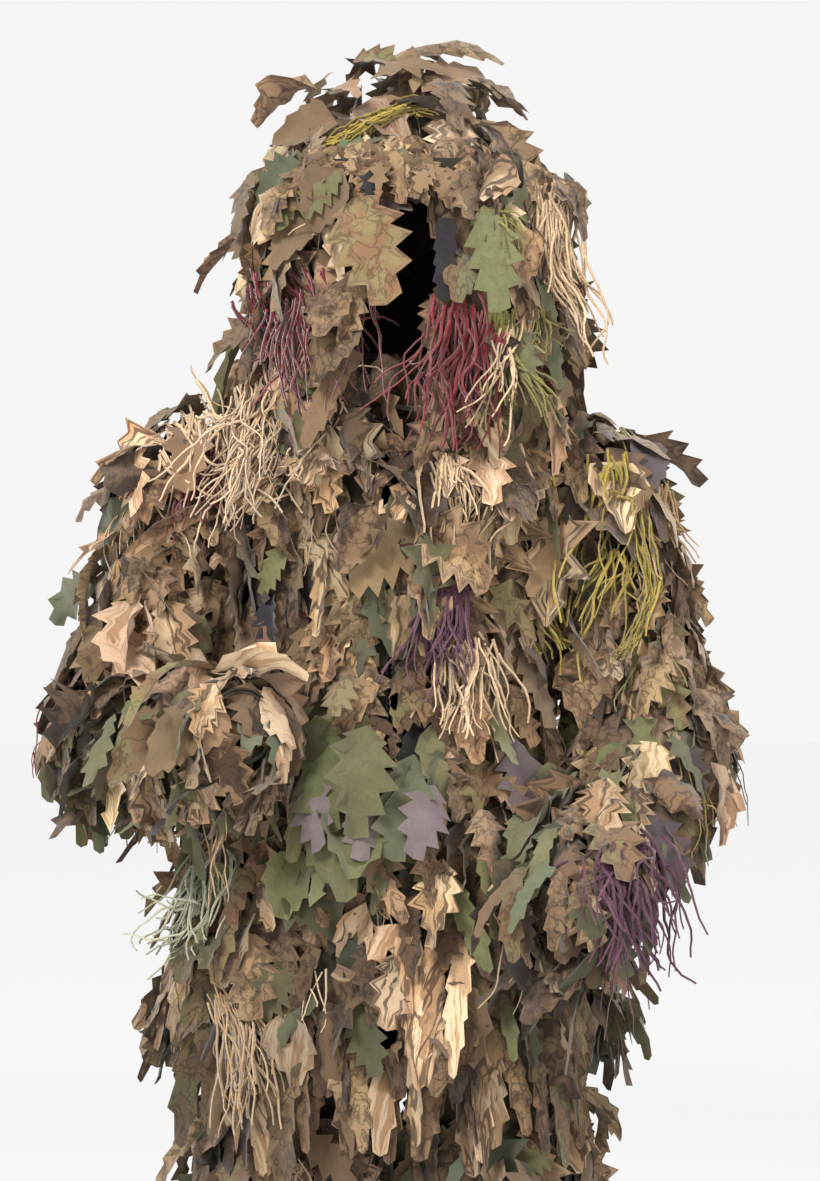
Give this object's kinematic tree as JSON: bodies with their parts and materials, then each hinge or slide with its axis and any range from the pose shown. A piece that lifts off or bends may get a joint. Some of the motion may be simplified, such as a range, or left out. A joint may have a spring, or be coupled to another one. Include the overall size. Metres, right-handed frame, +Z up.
{
  "type": "ghillie suit",
  "caption": "Leaf-covered camouflage suit in its worn shape: hooded zip jacket with bent sleeves and lift-up face veil, and elasticated trousers, hollow inside.",
  "frame": {"origin": "base of the wearer's neck, on the body's centre line, 1.50 m above the floor the wearer stands on", "axes": "+Z up, the chest and the zip face -Y, the wearer's right is -X"},
  "size_m": [0.6718, 0.4646, 1.7647],
  "materials": {
    "leaf_cloth": "matte",
    "base_cloth": "matte",
    "veil_mesh": "matte",
    "webbing": "matte",
    "zip_tape": "matte",
    "zip_plastic": "satin",
    "zip_metal": "satin"
  },
  "bodies": {
    "jacket": {"back_panel": "base_cloth", "right_front_panel": "base_cloth", "left_front_panel": "base_cloth", "collar_band": "base_cloth", "hanger_loop": "webbing", "hem_elastic": "webbing", "back_leaf_layer": "leaf_cloth", "right_front_leaf_layer": "leaf_cloth", "left_front_leaf_layer": "leaf_cloth", "zip_tape_right": "zip_tape", "zip_tape_left": "zip_tape", "zip_teeth_right": "zip_plastic", "zip_teeth_left": "zip_plastic", "zip_bottom_box": "zip_metal", "trousers_seat": "base_cloth", "waistband_elastic": "webbing"},
    "hood": {"hood_right_panel": "base_cloth", "hood_left_panel": "base_cloth", "hood_centre_panel": "base_cloth", "hood_rim_elastic": "webbing", "hood_leaf_layer_right": "leaf_cloth", "hood_leaf_layer_left": "leaf_cloth"},
    "veil": {"veil_brow_band": "webbing", "veil_right_panel": "veil_mesh", "veil_left_panel": "veil_mesh", "veil_right_leaf_layer": "leaf_cloth", "veil_left_leaf_layer": "leaf_cloth"},
    "zip_slider": {"zip_slider": "zip_metal"},
    "zip_pull_tab": {"zip_pull_tab": "zip_metal"},
    "right_upper_sleeve": {"right_upper_sleeve": "base_cloth", "right_upper_sleeve_leaf_layer": "leaf_cloth"},
    "right_lower_sleeve": {"right_lower_sleeve": "base_cloth", "right_lower_sleeve_leaf_layer": "leaf_cloth", "right_cuff_elastic": "webbing"},
    "right_thigh": {"right_thigh": "base_cloth", "right_thigh_leaf_layer": "leaf_cloth"},
    "right_shin": {"right_shin": "base_cloth", "right_shin_leaf_layer": "leaf_cloth", "right_ankle_elastic": "webbing"},
    "left_upper_sleeve": {"left_upper_sleeve": "base_cloth", "left_upper_sleeve_leaf_layer": "leaf_cloth"},
    "left_lower_sleeve": {"left_lower_sleeve": "base_cloth", "left_lower_sleeve_leaf_layer": "leaf_cloth", "left_cuff_elastic": "webbing"},
    "left_thigh": {"left_thigh": "base_cloth", "left_thigh_leaf_layer": "leaf_cloth"},
    "left_shin": {"left_shin": "base_cloth", "left_shin_leaf_layer": "leaf_cloth", "left_ankle_elastic": "webbing"}
  },
  "joints": [
    {"name": "hood_fold_back", "type": "hinge", "parent": "jacket", "child": "hood", "pos_m": [0, 0.115, 0], "axis": [-1, 0, 0], "range_deg": [0, 75]},
    {"name": "veil_lift", "type": "hinge", "parent": "hood", "child": "veil", "pos_m": [0, -0.135, 0.238], "axis": [-1, 0, 0], "range_deg": [0, 100]},
    {"name": "zip_slide", "type": "slide", "parent": "jacket", "child": "zip_slider", "axis": [0, 0, -1], "range_m": [0, 0.49]},
    {"name": "zip_pull_swing", "type": "hinge", "parent": "zip_slider", "child": "zip_pull_tab", "pos_m": [0, -0.1422, -0.086], "axis": [-1, 0, 0], "range_deg": [0, 150]},
    {"name": "right_shoulder_raise", "type": "hinge", "parent": "jacket", "child": "right_upper_sleeve", "pos_m": [-0.195, 0, -0.078], "axis": [-1, 0, 0], "range_deg": [0, 60]},
    {"name": "right_elbow_straighten", "type": "hinge", "parent": "right_upper_sleeve", "child": "right_lower_sleeve", "pos_m": [-0.272, -0.02, -0.33], "axis": [0.806, 0.5176, -0.2873], "range_deg": [-10, 70]},
    {"name": "left_shoulder_raise", "type": "hinge", "parent": "jacket", "child": "left_upper_sleeve", "pos_m": [0.195, 0, -0.078], "axis": [-1, 0, 0], "range_deg": [0, 60]},
    {"name": "left_elbow_straighten", "type": "hinge", "parent": "left_upper_sleeve", "child": "left_lower_sleeve", "pos_m": [0.272, -0.02, -0.34], "axis": [0.7236, -0.6388, 0.2614], "range_deg": [-6, 45]},
    {"name": "right_hip_swing", "type": "hinge", "parent": "jacket", "child": "right_thigh", "pos_m": [-0.098, 0, -0.59], "axis": [-1, 0, 0], "range_deg": [-10, 20]},
    {"name": "right_knee_bend", "type": "hinge", "parent": "right_thigh", "child": "right_shin", "pos_m": [-0.123, 0, -1.01], "axis": [1, 0, 0], "range_deg": [0, 70]},
    {"name": "left_hip_swing", "type": "hinge", "parent": "jacket", "child": "left_thigh", "pos_m": [0.098, 0, -0.59], "axis": [-1, 0, 0], "range_deg": [-10, 20]},
    {"name": "left_knee_bend", "type": "hinge", "parent": "left_thigh", "child": "left_shin", "pos_m": [0.123, 0, -1.01], "axis": [1, 0, 0], "range_deg": [0, 70]}
  ]
}
